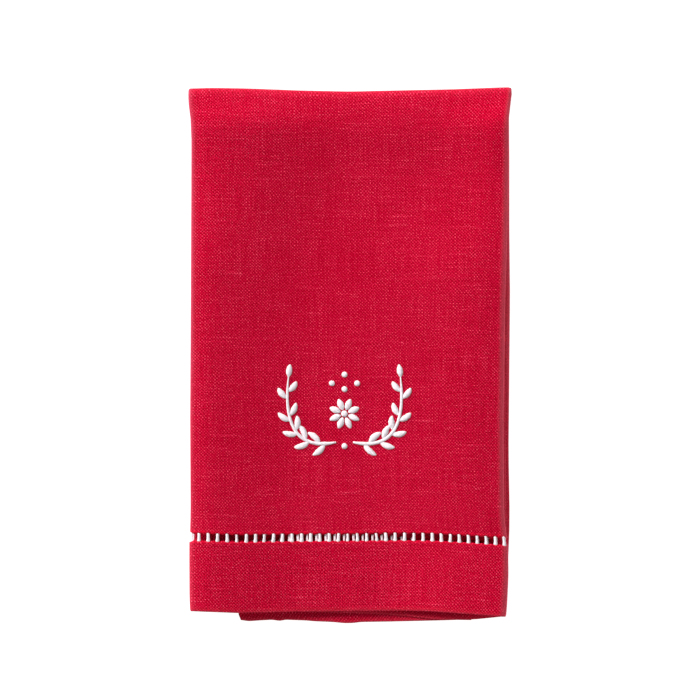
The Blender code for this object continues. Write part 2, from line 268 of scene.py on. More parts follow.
WAVE_HEIGHT = 0.30
WAVE_TOP_SHARE = 0.4  # of the waves, at the top fold
WAVE_COUNT = 14
WAVE_LENGTHS = (16.0, 60.0)
print("drop to the brow (mm):", round(SLOPE_DROP, 2))

# %% Relief of the front
chance = np.random.default_rng(7)
wave_length = chance.uniform(*WAVE_LENGTHS, WAVE_COUNT)
wave_turn = chance.uniform(0, 2 * np.pi, WAVE_COUNT)
wave_phase = chance.uniform(0, 2 * np.pi, WAVE_COUNT)


def low_waves(x, y):
    """Sum of sine waves of random direction, length and phase; the longer a wave, the higher."""
    x, y = np.asarray(x)[..., None], np.asarray(y)[..., None]
    along = x * np.cos(wave_turn) + y * np.sin(wave_turn)
    share = wave_length / wave_length.sum()
    return WAVE_HEIGHT * (np.sin(2 * np.pi * along / wave_length + wave_phase) * share).sum(-1)


def fold_start(x):
    """The y where the front passes into the top fold."""
    return fold_centre(x) + TOP_FOLD_RADIUS * np.sin(BROW_ANGLE)


def front_base(x, y):
    """Height of the front layer, and its downward slope angle: level, then a smooth step down, then
    a parabola for the brow."""
    over_brow = np.maximum(0.0, 1 - (fold_start(x) - y) / BROW_LENGTH)
    height = FRONT_HEIGHT - SLOPE_DROP * step_up(y, *SLOPE_STEP)
    return height - BROW_DROP * over_brow ** 2, np.arctan(2 * BROW_DROP * over_brow / BROW_LENGTH)


def right_crest(x, y, crest_x):
    """Two parabolas that meet at the steepest place, as slack cloth climbs to a bulky fold: t^2 / m
    up to m, then 1 - (1 - t)^2 / (1 - m)."""
    rise = follow(RIGHT_RISE, "start", "y", y, RISE_REACH)
    t = np.clip((x - rise) / (crest_x - rise), 0, 1)
    high = step_up(y, *HIGH_STEP)
    steepest = mix(*RIGHT_STEEPEST, high)
    climb = np.where(t < steepest, t ** 2 / steepest, 1 - (1 - t) ** 2 / (1 - steepest))
    past = np.maximum(0.0, x - crest_x)
    return mix(*RIGHT_CREST, high) * climb - RIGHT_DROP * (past / DROP_REACH) ** 2


def front_relief(x, y, start, end):
    """Crests beside the two side folds plus the low waves, fading towards the top fold, plus the
    hem's curl. `start` and `end` are where the panel passes into its folds."""
    high = step_up(y, *HIGH_STEP)
    left = LEFT_CREST * (1 - (1 - np.clip((x - start) / mix(*LEFT_RISE_WIDTH, high), 0, 1)) ** 3)
    left = left * step_down(x, mix(*LEFT_FALL_START, high), LEFT_FALL_WIDTH)
    left = left * (1 + LEFT_TOP_CREST * high)
    curl = np.maximum(0.0, HEM_CURL_START - y) / HEM_CURL_LENGTH * step_up(x, *HEM_CURL_STEP)
    inside = ease((x - start) / LEFT_RISE_WIDTH[0]) * ease((end - x) / LEFT_RISE_WIDTH[0])
    top = ease((fold_start(x) - y) / RELIEF_TOP_LENGTH)
    waves = low_waves(x, y) * inside * mix(WAVE_TOP_SHARE, 1.0, top)
    return (left + right_crest(x, y, end - CREST_INSET)) * top + HEM_CURL * curl + waves


over_hem = front_relief(np.array([-54.0, 0, 57]), -60.0, -64.0, 62.0)
print("relief over the hem (mm):", over_hem.round(2))

# %% [markdown]
# ## From the cut cloth to the fold
#
# Every spot of the flat cloth has two numbers: how far across (from the right flap's free edge)
# and how far along (from the hem). One function turns the pair into a place in the folded towel.
# With it the cloth, the ladder's bars and the hidden layers all come out of the same formula and
# fit.

# %% The cut cloth's stretches
RIGHT_FLAP = 108.0
RIGHT_FOLD = np.pi * PITCH
PANEL = 127.3
LEFT_FOLD = 3.11
LEFT_FLAP = 114.6
ACROSS = np.cumsum([RIGHT_FLAP, RIGHT_FOLD, PANEL, LEFT_FOLD, LEFT_FLAP])
FRONT_LENGTH = 210.5
TOP_FOLD_LENGTH = 5.8
BACK_LENGTH = 202.6
BOTTOM_FOLD_LENGTH = 6.3
LAST_LENGTH = 133.0
LAST_INSET = 1.2
ALONG = np.cumsum([FRONT_LENGTH, TOP_FOLD_LENGTH, BACK_LENGTH, BOTTOM_FOLD_LENGTH, LAST_LENGTH])
SIDE_REACH = 5.0  # mm over which the outline's rows are softened
RIGHT_FOLD_REACH = 1.15  # a pressed fold bulges less than half its height
CORNER_REACH = 0.4
OUTSET = 0.15  # the fold's few points cut its round corner by this much
LEFT_FOLD_MIDDLE = (ACROSS[2] + ACROSS[3]) / 2
CUT_SIZE = (float(ACROSS[-1]), float(ALONG[-1]))
print("cut cloth (mm):", np.round(CUT_SIZE, 1))

# %% Across the towel
FOLD_FLAT_STEP = (86.0, 16.0)  # here the cloth is pulled flat over the top fold
EDGE_REACH = 1.0


def right_reach(y):
    """How far the right fold bulges: less at the top, where the cloth is pulled flat."""
    return mix(RIGHT_FOLD_REACH, CORNER_REACH, step_up(y, *FOLD_FLAT_STEP))


def place_across(s, left, right, y):
    """Place across the towel, depth behind the front layer, `run`, and the panel's two ends: flat
    stretches joined by half circles of radius PITCH (right) and PITCH / 2 (left)."""
    start = left + SHEET / 2 + PITCH / 2 - OUTSET
    reach = right_reach(y)
    end = right - SHEET / 2 - reach + OUTSET
    edge = follow(RIGHT_FLAP_EDGE, "x", "y", y, EDGE_REACH)
    right_turn = np.pi * (s - ACROSS[0]) / RIGHT_FOLD
    left_turn = np.pi * (s - ACROSS[2]) / LEFT_FOLD
    share = (s - ACROSS[1]) / PANEL
    places = [s < ACROSS[0], s < ACROSS[1], s <= ACROSS[2], s < ACROSS[3]]
    x = np.select(places, [
        mix(edge, end, s / ACROSS[0]),
        end + reach * np.sin(right_turn),
        mix(end, start, share),
        start - PITCH / 2 * np.sin(left_turn),
    ], mix(start, end, (s - ACROSS[3]) / PANEL))
    depth = np.select(places, [
        2 * PITCH + 0 * s,
        PITCH + PITCH * np.cos(right_turn),
        0 * s,
        PITCH / 2 - PITCH / 2 * np.cos(left_turn),
    ], PITCH)
    run = np.select(places, [s / ACROSS[0], 1 + 0 * s, 1 + share, 2 + 0 * s],
                    2 + (s - ACROSS[3]) / LEFT_FLAP)
    return x, depth, run, start, end


print("right fold bulges (mm):", right_reach(np.array([0.0, 100.0])).round(2))

# %% Slack of the drawn line and of the flaps
LADDER_MIDDLE = 30.3
LADDER_HALF = 1.68
LADDER_DRIFT = table(  # the drawn line gives, so its bars are pulled sideways by this much
    "x sideways", (-66.0, 0.50), (-60.0, 0.58), (-50.0, 0.62), (-42.0, 0.95), (-33.0, 0.50),
    (-20.0, 0.64), (-7.0, 0.45), (5.0, 0.62), (14.0, 0.92), (33.0, 0.90), (41.0, 0.65),
    (48.0, 0.38), (53.0, 0.06), (60.0, 0.0), (64.0, -0.30),
)
DRIFT_REACH = 2.0
DRIFT_STEP = (4.0, 12.0)  # it fades from the line into the cloth
FOLD_PULL = 1.2  # the drawn line has no width to round the left fold, so that bar lies further in
PULL_ALONG_STEP = (LADDER_HALF - 0.3, 0.8)
PULL_ACROSS_STEP = (0.96, 1.6)
FLAP_SLIP = 1.45  # the left flap lies this far to the left between two soft steps
SLIP_START, SLIP_END, SLIP_LENGTH = 30.0, 82.0, 15.0  # from its fold
FLAP_SHARE = 0.75  # of the front's relief, in the two flaps under it
FLAP_LIFT = 0.65  # the right flap's hem is held up in its middle, where it catches the light
LIFT_STEP, LIFT_END_STEP = (-20.0, 22.0), (47.0, 15.0)
FLAP_DROOP = 0.5
DROOP_STEP = (-30.0, 15.0)
FLAP_HEM_STEP = (6.0, 14.0)


def drawn_shift(s, v, x):
    """How far the drawn line's bars are pulled sideways: by the table's amount, and at the left
    fold by FOLD_PULL, both fading into the cloth."""
    from_line = np.abs(v - LADDER_MIDDLE)
    at_fold = step_down(np.abs(s - LEFT_FOLD_MIDDLE), *PULL_ACROSS_STEP)
    pull = FOLD_PULL * step_down(from_line, *PULL_ALONG_STEP)
    given = follow(LADDER_DRIFT, "sideways", "x", x, DRIFT_REACH)
    given = given * step_down(from_line, *DRIFT_STEP)
    return pull * at_fold + given * (1 - at_fold)


def slip_share(s):
    """1 where the left flap has slipped, 0 elsewhere, with a soft step on both sides."""
    from_fold = s - ACROSS[3]
    return step_up(from_fold, SLIP_START, SLIP_LENGTH) * step_down(from_fold, SLIP_END, SLIP_LENGTH)


def relief_share(s, depth):
    """How much of the front's relief a layer takes: all on the panel, FLAP_SHARE in the flaps, and
    round the right fold less with the depth."""
    on_panel = (s >= ACROSS[1]) & (s <= ACROSS[2])
    on_fold = (s > ACROSS[0]) & (s < ACROSS[1])
    turning = 1 - (1 - FLAP_SHARE) * depth / (2 * PITCH)
    return np.select([on_panel, on_fold], [1.0 + 0 * s, turning], FLAP_SHARE)


def flap_hem_lift(s, v, x):
    """Extra height of the right flap at its hem: up in its middle, down at its free edge."""
    lift = FLAP_LIFT * step_up(x, *LIFT_STEP) * step_down(x, *LIFT_END_STEP)
    droop = FLAP_DROOP * step_down(x, *DROOP_STEP)
    return np.where(s < ACROSS[0], step_down(v, *FLAP_HEM_STEP), 0.0) * (lift - droop)


print("share of the left flap's slip:", slip_share(ACROSS[3] + np.array([10, 50, 90])).round(2))

# %% Where a spot of the cut cloth lies
HEM_REACH = 0.015


def side_lines(v, y_front, y_back):
    """x of the towel's two sides, by the front's table and past the top fold by the back's."""
    turned = ease((v - ALONG[0]) / TOP_FOLD_LENGTH)
    inset = LAST_INSET * np.clip((v - ALONG[3]) / LAST_LENGTH, 0, 1)
    left, right = (mix(follow(FRONT_SIDES, side, "y", y_front, SIDE_REACH),
                       follow(BACK_SIDES, side, "y", y_back, SIDE_REACH) + inwards * inset, turned)
                   for side, inwards in (("left", 1), ("right", -1)))
    return left, right


def fold(s, v):
    """Place (mm) in the folded towel of a spot `s` across and `v` along the cut cloth. The place
    across comes first. Then each of the five stretches along the cloth has its own y and z: three
    level ones, and half circles of radius TOP_FOLD_RADIUS less the depth between them."""
    s, v = np.broadcast_arrays(np.asarray(s, float), np.asarray(v, float))
    top_middle = float(fold_centre(0.0))
    front_share = v / FRONT_LENGTH
    back_share = (v - ALONG[1]) / BACK_LENGTH
    y_front = mix(HEM_MIDDLE, top_middle, np.clip(front_share, 0, 1))
    y_back = mix(top_middle, BOTTOM_LINE, np.clip(back_share, 0, 1))
    y_read = np.where(v < ALONG[1], y_front, y_back)
    x, depth, run, start, end = place_across(s, *side_lines(v, y_front, y_back), y_read)
    x = x - FLAP_SLIP * slip_share(s)
    x = x + drawn_shift(s, v, x)

    y = mix(follow(HEM_LINE, "y", "run", run, HEM_REACH), fold_start(x), front_share)
    z, angle = front_base(x, y)
    z = z + relief_share(s, depth) * front_relief(np.clip(x, start, end), y, start, end)
    z = z + flap_hem_lift(s, v, x)
    front = (y - depth * np.sin(angle), z - depth * np.cos(angle))

    radius = TOP_FOLD_RADIUS - depth
    turn = mix(BROW_ANGLE, np.pi, (v - ALONG[0]) / TOP_FOLD_LENGTH)
    top = (fold_centre(x) + radius * np.sin(turn), CROSS_FOLD_HEIGHT + radius * np.cos(turn))

    foot = BOTTOM_LINE + TOP_FOLD_RADIUS + SHEET / 2
    back = (mix(fold_centre(x), foot, back_share), SHEET / 2 + depth)
    bend = np.pi * (v - ALONG[2]) / BOTTOM_FOLD_LENGTH
    bottom = (foot - radius * np.sin(bend), CROSS_FOLD_HEIGHT - radius * np.cos(bend))
    last = (foot + (v - ALONG[3]), LAST_HEIGHT - depth)

    stages = [v < ALONG[0], v < ALONG[1], v < ALONG[2], v < ALONG[3]]
    y, z = (np.select(stages, [front[k], top[k], back[k], bottom[k]], last[k]) for k in (0, 1))
    return np.stack([x, y, z], axis=-1)


print("hem corners at", fold([ACROSS[1], ACROSS[2]], 0.0).round(1).tolist())

# %% [markdown]
# ## The drawn-thread ladder
#
# A hemstitcher draws out a few weft threads above the hem, then bundles the warp threads that are
# left with white thread. So the ladder is a row of real holes with a wrapped bundle between each
# two. Holes could be cut by a Boolean, but here the grid's columns are laid so that each hole is
# three cells, and those cells are simply left out. The hole's edges bow in a little where no
# thread pulls.

# %% Columns and rows of the cloth's grid
BAR_STEP = 3.7926  # from one bar to the next, about six threads
FIRST_BAR = 2.162
STRIP_HALF = 0.75  # half of the bundled cloth at a hole's corners
EDGE_CELL = 0.6  # the first column lies this far from the right flap's edge
EDGE_CLEAR = (1.0, 0.4)  # no bar's column comes nearer to the first and the last edge
bar_places = np.arange(FIRST_BAR, CUT_SIZE[0], BAR_STEP)
hole_step = (BAR_STEP - 2 * STRIP_HALF) / 3
unit = np.array([-STRIP_HALF, STRIP_HALF, STRIP_HALF + hole_step, STRIP_HALF + 2 * hole_step])
columns = (bar_places[:, None] + unit).ravel()
columns = columns[(columns > EDGE_CLEAR[0]) & (columns < CUT_SIZE[0] - EDGE_CLEAR[1])]
fold_bar = bar_places[np.argmin(np.abs(bar_places - LEFT_FOLD_MIDDLE))]
columns = np.sort(np.concatenate([[0.0, EDGE_CELL], columns, [fold_bar, CUT_SIZE[0]]]))

above_line = np.array([0, 1.2, LADDER_HALF, 2.3, 3.0, 4.3])
ladder_rows = LADDER_MIDDLE + np.concatenate([-above_line[:0:-1], above_line])
hem_rows = np.concatenate([[0, 0.35, 0.9, 2.2], np.arange(4.5, 23, 3.0)])
rows = np.concatenate([
    hem_rows, ladder_rows, np.arange(38, 182, 5.0), np.arange(183, FRONT_LENGTH - 1, 2.6),
    np.linspace(ALONG[0], ALONG[1], 9), np.linspace(ALONG[1], ALONG[2], 24)[1:],
    np.linspace(ALONG[2], ALONG[3], 8)[1:], np.linspace(ALONG[3], CUT_SIZE[1] - 40, 8)[1:],
    np.sort(CUT_SIZE[1] - np.concatenate([hem_rows[::2], ladder_rows])),
])
print("bars:", len(bar_places), " grid:", len(rows), "rows x", len(columns), "columns")

# %% The cloth's grid on the cut cloth
PINCH = 0.42  # half of the bundled strip at its waist
WAIST_STEP = (LADDER_HALF - 0.6, 1.2)
EDGE_BOW = (0.28, 0.42)  # how far a hole's edges bow in between two bars: below it and above it
BOW_WIDTH = 0.35
RIM = 0.1  # a rule for the cloth round a hole starts this far inside its edge
S, V = np.meshgrid(columns, rows)
from_bar = (S - FIRST_BAR + BAR_STEP / 2) % BAR_STEP - BAR_STEP / 2  # signed, to the nearest bar
from_hem = np.minimum(V, CUT_SIZE[1] - V)
from_middle = np.abs(from_hem - LADDER_MIDDLE)
nearest_line = np.where(V < CUT_SIZE[1] / 2, LADDER_MIDDLE, CUT_SIZE[1] - LADDER_MIDDLE)
side = np.sign(V - nearest_line)


def below_above(below, above):
    """One value on the lower side of the drawn line and another on its upper side."""
    return np.where(side > 0, above, below)


on_strip = np.abs(from_bar) < STRIP_HALF + 0.01
on_cloth = from_middle > LADDER_HALF - RIM
waist = step_down(from_middle, *WAIST_STEP)
S_shaped = S - from_bar + from_bar * np.where(on_strip, mix(1.0, PINCH / STRIP_HALF, waist), 1.0)
bow = bell(from_middle - LADDER_HALF, BOW_WIDTH) * below_above(*EDGE_BOW)
V_shaped = V - side * np.where(on_cloth & ~on_strip, bow, 0.0)
cloth_points = fold(S_shaped, V_shaped)
print("folded cloth reaches (mm):", cloth_points.max((0, 1)).round(1))

# %% Raised lips
LIP = (0.16, 0.30)  # the cut edges of a drawn line stand up a little: below it and above it
LIP_OFFSET = (0.3, -0.1)  # the upper one curls at its very rim
LIP_WIDTH = 0.55
SMALLEST = 1e-9


def one_long(steps):
    """The same directions with a length of 1."""
    return steps / np.maximum(np.linalg.norm(steps, axis=-1, keepdims=True), SMALLEST)


def cloth_directions(s, v, nudge):
    """Across the folded cloth and out of its face, from four spots a nudge (mm) away."""
    step_s = fold(s + nudge, v) - fold(s - nudge, v)
    step_v = fold(s, v + nudge) - fold(s, v - nudge)
    return one_long(step_s), one_long(np.cross(step_v, step_s))


outward = cloth_directions(S_shaped, V_shaped, 0.2)[1]
from_crest = from_middle - LADDER_HALF - below_above(*LIP_OFFSET)
lip = below_above(*LIP) * bell(from_crest, LIP_WIDTH)
lip = lip * np.where(on_cloth, np.sin(np.pi * from_bar / BAR_STEP) ** 2, 0.0)
cloth_points = cloth_points + outward * lip[..., None]
print("largest lip (mm):", lip.max().round(2))

# %% Mesh helpers
def grid_quads(count_rows, count_columns):
    """Corner numbers of the quads between neighbouring crossings; row first, so that the face's
    front is (along x across)."""
    number = np.arange(count_rows * count_columns).reshape(count_rows, count_columns)
    return np.stack([number[:-1, :-1], number[1:, :-1], number[1:, 1:], number[:-1, 1:]], axis=-1)


def make_piece(name, points, faces, uv, material):
    """A mesh object from points (mm), faces and one UV pair (mm) a point, smooth shaded."""
    mesh = bpy.data.meshes.new(name)
    mesh.from_pydata((points * MM).tolist(), [], faces)
    layer = mesh.uv_layers.new(name="cloth_mm")
    corner = np.zeros(len(mesh.loops), np.int32)
    mesh.loops.foreach_get("vertex_index", corner)
    layer.data.foreach_set("uv", uv[corner].astype(np.float32).ravel())
    mesh.shade_smooth()
    mesh.materials.append(material)
    piece = bpy.data.objects.new(name, mesh)
    bpy.context.collection.objects.link(piece)
    return piece


print("helpers ready")

# %% [markdown]
# ## Materials made of nodes
#
# A weave could be a picture, but a picture is blurred up close and repeats. Here it is arithmetic
# on the cut cloth's own millimetres: one sine for the warp, one for the weft. Where their product
# is positive the warp lies on top, and where it is negative the weft does. Long thin noise gives
# each thread its own tone and its thick places, which is what makes linen look like linen.

# %% A small kit for node arithmetic
Grain = namedtuple("Grain", "scale_u scale_v detail rough", defaults=(2.0, 0.5))


class Nodes:
    """Adds nodes to a material and links plain numbers or sockets into them."""

    def __init__(self, name):
        self.material = bpy.data.materials.new(name)
        self.material.use_nodes = True
        self.tree = self.material.node_tree
        self.shader = self.tree.nodes["Principled BSDF"]

    def add(self, kind, inputs, output=0, **settings):
        node = self.tree.nodes.new(kind)
        for key, value in settings.items():
            setattr(node, key, value)
        for key, value in inputs.items():
            if isinstance(value, bpy.types.NodeSocket):
                self.tree.links.new(value, node.inputs[key])
            else:
                node.inputs[key].default_value = value
        return node.outputs[output]

    def cloth_mm(self):
        """The two numbers of the piece's own UV map, which are millimetres."""
        parts = self.tree.nodes.new("ShaderNodeSeparateXYZ")
        self.tree.links.new(self.add("ShaderNodeUVMap", {}, uv_map="cloth_mm"), parts.inputs[0])
        return parts.outputs[0], parts.outputs[1]

    def attribute(self, name):
        return self.add("ShaderNodeAttribute", {}, output=2, attribute_name=name)

    def math(self, operation, a, b=0.0, c=0.0):
        return self.add("ShaderNodeMath", {0: a, 1: b, 2: c}, operation=operation)

    def vary(self, level, source, strength, middle=0.5):
        """level + strength * (source - middle)"""
        change = self.math("MULTIPLY_ADD", source, strength, -strength * middle)
        return self.math("ADD", level, change)

    def tint(self, share, colour, other):
        """A colour mixed with a constant one."""
        return self.add("ShaderNodeMix", {0: share, 6: colour, 7: (*other, 1)}, output=2,
                        data_type="RGBA")

    def noise(self, u, v, grain):
        """Noise on the cloth's millimetres, with its own scale each way (features a millimetre)."""
        spot = self.add("ShaderNodeCombineXYZ", {
            0: self.math("MULTIPLY", u, grain.scale_u), 1: self.math("MULTIPLY", v, grain.scale_v)})
        return self.add("ShaderNodeTexNoise", {
            "Vector": spot, "Scale": 1.0, "Detail": grain.detail, "Roughness": grain.rough})

    def ramp(self, factor, stops):
        """Colours along 0 to 1; `stops` are (position, colour)."""
        node = self.tree.nodes.new("ShaderNodeValToRGB")
        elements = node.color_ramp.elements
        while len(elements) < len(stops):
            elements.new(0.5)
        for element, (position, colour) in zip(elements, stops):
            element.position = position
            element.color = (*colour, 1)
        self.tree.links.new(factor, node.inputs[0])
        return node.outputs[0]

    def finish(self, colour, height, depth, **constants):
        """Links colour and bump to the shader, and sets its constant sockets."""
        self.tree.links.new(colour, self.shader.inputs["Base Color"])
        bump = self.add("ShaderNodeBump", {
            "Height": height, "Distance": depth * MM, "Strength": 1.0})
        self.tree.links.new(bump, self.shader.inputs["Normal"])
        for key, value in constants.items():
            self.shader.inputs[key.replace("_", " ")].default_value = value
        return self.material


print("node kit ready")

# %% Red linen
THREAD_PITCH = 0.64
# The top stops are paler and pinker: painted highlights of the fibres' gloss, over the weave's own
# tone.
LINEN_STOPS = (
    (0.0, (0.245, 0.0001, 0.0040)),
    (0.25, (0.392, 0.0001, 0.0115)),
    (0.5, (0.550, 0.0012, 0.0302)),
    (0.75, (0.712, 0.0160, 0.0625)),
    (1.0, (0.960, 0.1120, 0.1930)),
)

SHEEN_PAINT_RED = (0.840, 0.100, 0.150)  # painted sheen: the pale pink rim that the fibres show at a grazing angle along the folds
SHADE_SHEEN_RED = (0.520, 0.096, 0.152)  # painted shade with painted sheen on the left fold: less red where the light falls full on it, with a pale pink rim
FRESH_AND_LIT_RED = (0.86, 0.004, 0.028)  # loose thread ends at the drawn line seen end on, plus a painted highlight on the upper lips and the hem's turned edge
FRESH_AND_LIT_SHARE = 0.75
SWAY, SWAY_MM = Grain(0.22, 0.06), 1.3  # no thread runs quite straight
WARP_TONE = Grain(1.3 / THREAD_PITCH, 0.045, 1.0)  # narrower than a thread and very long
WEFT_TONE = Grain(0.05, 1.3 / THREAD_PITCH, 1.0)
SLUB, SLUB_GAIN, SLUB_POWER = Grain(0.06, 1.1, 1.0), 1.35, 7.0  # rare thick places in the weft
FUZZ = Grain(1.7, 1.7, 2.0, 0.7)
CLOUD = Grain(0.022, 0.018)
MEAN_LEVEL = 0.48
# The twist term slants the weave along one diagonal, as the yarn's twist does, and also paints
# light on the upper left side of each crown.
CHECKER, TWIST_AND_LIT_SIDE = 0.32, 0.05  # how much each changes the level, as in the next line
TONE_PART, FUZZ_PART, CLOUD_PART, SLUB_PART = 0.50, 1.5, 0.12, 0.14
PATCH_GAIN, PATCH_BASE = 1.1, 0.25  # fuzz breaks up the painted sheen and painted shade on the folds


def red_linen():
    """Plain weave: the level is a mean + checker + twist + a tone for each thread + fuzz + slow
    clouds + slubs, and the stops turn it into a colour. The twist term also paints light on one
    side of each crown, and the top stops hold painted highlights. Three painted marks then change
    the colour: painted sheen on the folds, painted shade with painted sheen on the left fold, and
    a fresh red with painted highlights at the drawn line and the hem."""
    n = Nodes("red_linen_weave")
    u, v = n.cloth_mm()
    turn = np.pi / THREAD_PITCH
    turns_u = n.math("MULTIPLY", n.math("MULTIPLY_ADD", n.noise(u, v, SWAY), SWAY_MM, u), turn)
    turns_v = n.math("MULTIPLY", n.math("MULTIPLY_ADD", n.noise(v, u, SWAY), SWAY_MM, v), turn)
    checker = n.math("MULTIPLY", n.math("SINE", turns_u), n.math("SINE", turns_v))
    twist_and_lit_side = n.math("MULTIPLY", n.math("COSINE", turns_u), n.math("COSINE", turns_v))
    warp_on_top = n.math("MULTIPLY_ADD", checker, 0.5, 0.5)
    weft_tone, warp_tone = n.noise(u, v, WEFT_TONE), n.noise(u, v, WARP_TONE)
    tone = n.add("ShaderNodeMix", {0: warp_on_top, 2: weft_tone, 3: warp_tone}, data_type="FLOAT")
    slub = n.math("POWER", n.math("MULTIPLY", n.noise(u, v, SLUB), SLUB_GAIN), SLUB_POWER)
    fuzz = n.noise(u, v, FUZZ)
    level = n.math("MULTIPLY_ADD", checker, CHECKER, MEAN_LEVEL)
    level = n.math("MULTIPLY_ADD", twist_and_lit_side, TWIST_AND_LIT_SIDE, level)
    level = n.vary(level, tone, TONE_PART)
    level = n.vary(level, fuzz, FUZZ_PART)
    level = n.vary(level, n.noise(u, v, CLOUD), CLOUD_PART)
    level = n.vary(level, slub, SLUB_PART, middle=0.1)
    patches = n.math("MULTIPLY_ADD", fuzz, PATCH_GAIN, PATCH_BASE)
    fresh_and_lit = n.math("MULTIPLY", n.attribute("fresh_and_lit_edge"), FRESH_AND_LIT_SHARE)
    shade_sheen_paint = n.math("MULTIPLY", n.attribute("painted_shade_sheen_fold"), patches)
    sheen_paint = n.math("MULTIPLY", n.attribute("painted_sheen_fold"), patches)
    colour = n.tint(fresh_and_lit, n.ramp(level, LINEN_STOPS), FRESH_AND_LIT_RED)
    colour = n.tint(sheen_paint, n.tint(shade_sheen_paint, colour, SHADE_SHEEN_RED), SHEEN_PAINT_RED)
    height = n.math("ADD", n.math("ABSOLUTE", checker), n.math("MULTIPLY", slub, 0.5))
    height = n.math("MULTIPLY_ADD", fuzz, 0.5, height)
    return n.finish(colour, height, 0.10, Roughness=0.92, Specular_IOR_Level=0.01,
                    Sheen_Weight=0.32, Sheen_Roughness=0.18, Sheen_Tint=(1.0, 0.45, 0.5, 1.0))


linen = red_linen()
print("red linen:", len(linen.node_tree.nodes), "nodes")

# %% White thread
# The low stops are darker and rosier: painted shade and painted red bounce in the grooves between
# threads.
SATIN_STOPS = ((0.0, (0.72, 0.48, 0.54)), (0.35, (0.94, 0.82, 0.87)), (0.75, (1.0, 0.95, 0.99)))
BAR_STOPS = ((0.0, (0.66, 0.42, 0.48)), (0.35, (0.94, 0.79, 0.84)), (0.75, (1.0, 0.94, 0.98)))
PAINTED_RED_BOUNCE = (1.0, 0.66, 0.76)  # painted reflection: the red light that the cloths round the hidden bars throw on them
THREAD_SWAY, THREAD_SWAY_MM = Grain(0.6, 0.6), 0.35
FIBRE = Grain(9.0, 1.6)
THREAD_PATCHES = Grain(1.1, 1.4)
RIDGE_PART, FIBRE_PART, PATCH_PART = 0.55, 0.6, 0.9


def white_thread(name, pitch, depth, stops):
    """Satin stitch: parallel threads across the stroke, a round ridge each, |sin| of the distance
    along it. The grooves between are greyer and rosier: painted shade and a painted red bounce."""
    n = Nodes(name)
    u, v = n.cloth_mm()
    swayed = n.math("MULTIPLY_ADD", n.noise(u, v, THREAD_SWAY), THREAD_SWAY_MM, u)
    ridge = n.math("ABSOLUTE", n.math("SINE", n.math("MULTIPLY", swayed, np.pi / pitch)))
    fibre = n.noise(u, v, FIBRE)
    level = n.math("MULTIPLY_ADD", ridge, RIDGE_PART, n.math("MULTIPLY", fibre, FIBRE_PART))
    level = n.vary(level, n.noise(u, v, THREAD_PATCHES), PATCH_PART)
    colour = n.tint(n.attribute("painted_bounce"), n.ramp(level, stops), PAINTED_RED_BOUNCE)
    height = n.math("MULTIPLY_ADD", fibre, 0.25, ridge)
    return n.finish(colour, height, depth, Roughness=0.7, Specular_IOR_Level=0.15,
                    Sheen_Weight=0.15, Sheen_Roughness=0.35, Sheen_Tint=(1.0, 0.98, 0.98, 1.0))


satin_thread = white_thread("white_satin_thread", pitch=0.55, depth=0.14, stops=SATIN_STOPS)
bar_thread = white_thread("white_bar_thread", pitch=0.38, depth=0.07, stops=BAR_STOPS)
print("thread:", len(satin_thread.node_tree.nodes), "nodes")

# %% [markdown]
# ## The cloth
#
# The grid is now a mesh without its holes. Solidify gives it a thickness that a vertex group
# varies: the deep hems are two cloths thick, the rest one, and every free edge thins out so that
# it looks turned and not cut from board.

# %% The cloth as one piece
SIDES_CLEAR = 1.0  # no hole comes nearer to a free edge
left_side, right_side = from_bar[:-1, :-1], from_bar[:-1, 1:]
past_strip = np.abs(left_side + right_side) > 2 * STRIP_HALF + 0.2
half_way = left_side > right_side  # here the distance jumps from one bar to the next
in_band = (from_middle[:-1] + from_middle[1:]) / 2 < LADDER_HALF
inside_sides = (S[:-1, :-1] > SIDES_CLEAR) & (S[:-1, 1:] < CUT_SIZE[0] - SIDES_CLEAR)
is_hole = (past_strip | half_way) & in_band[:, :-1] & inside_sides
quads = grid_quads(*S.shape)[~is_hole]
used, renumbered = np.unique(quads, return_inverse=True)
faces = renumbered.reshape(-1, 4).tolist()
flat_points = cloth_points.reshape(-1, 3)[used]
flat_uv = np.stack([S_shaped.ravel()[used], V_shaped.ravel()[used]], axis=-1)
cloth = make_piece("linen_towel", flat_points, faces, flat_uv, linen)
print("cells left out for holes:", int(is_hole.sum()), " faces:", len(faces))

# %% The cloth's thickness
FULL = 1.0  # mm, where the vertex group is 1
HEM_SHEET = 1.0
HEM_DEPTH = LADDER_MIDDLE - LADDER_HALF
HEM_STEP = (HEM_DEPTH + 0.1, 0.5)
SIDE_HEM, SIDE_HEM_SHEET = 6.0, 0.85
STRIP_SHEET = 0.45
EDGE_SHARE, EDGE_STEP = 0.4, (-0.15, 0.9)  # a free edge thins out to this share
from_side = np.minimum(S, CUT_SIZE[0] - S)
thick = mix(SHEET, HEM_SHEET, step_down(from_hem, *HEM_STEP))
thick = np.maximum(thick, np.where(from_side < SIDE_HEM, SIDE_HEM_SHEET, 0))
thick = thick * mix(EDGE_SHARE, 1.0, step_up(np.minimum(from_hem, from_side), *EDGE_STEP))
thick = np.where(on_strip & (from_middle < LADDER_HALF + RIM), STRIP_SHEET, thick)
weight = np.round(thick / FULL, 2).ravel()[used]
group = cloth.vertex_groups.new(name="thickness")
for value in np.unique(weight):
    group.add(np.nonzero(weight == value)[0].tolist(), float(value), "REPLACE")
solid = cloth.modifiers.new("thickness", "SOLIDIFY")
solid.thickness = FULL * MM
solid.offset = 0.0
solid.vertex_group = "thickness"
solid.use_quality_normals = True
print("thickness steps:", len(np.unique(weight)))

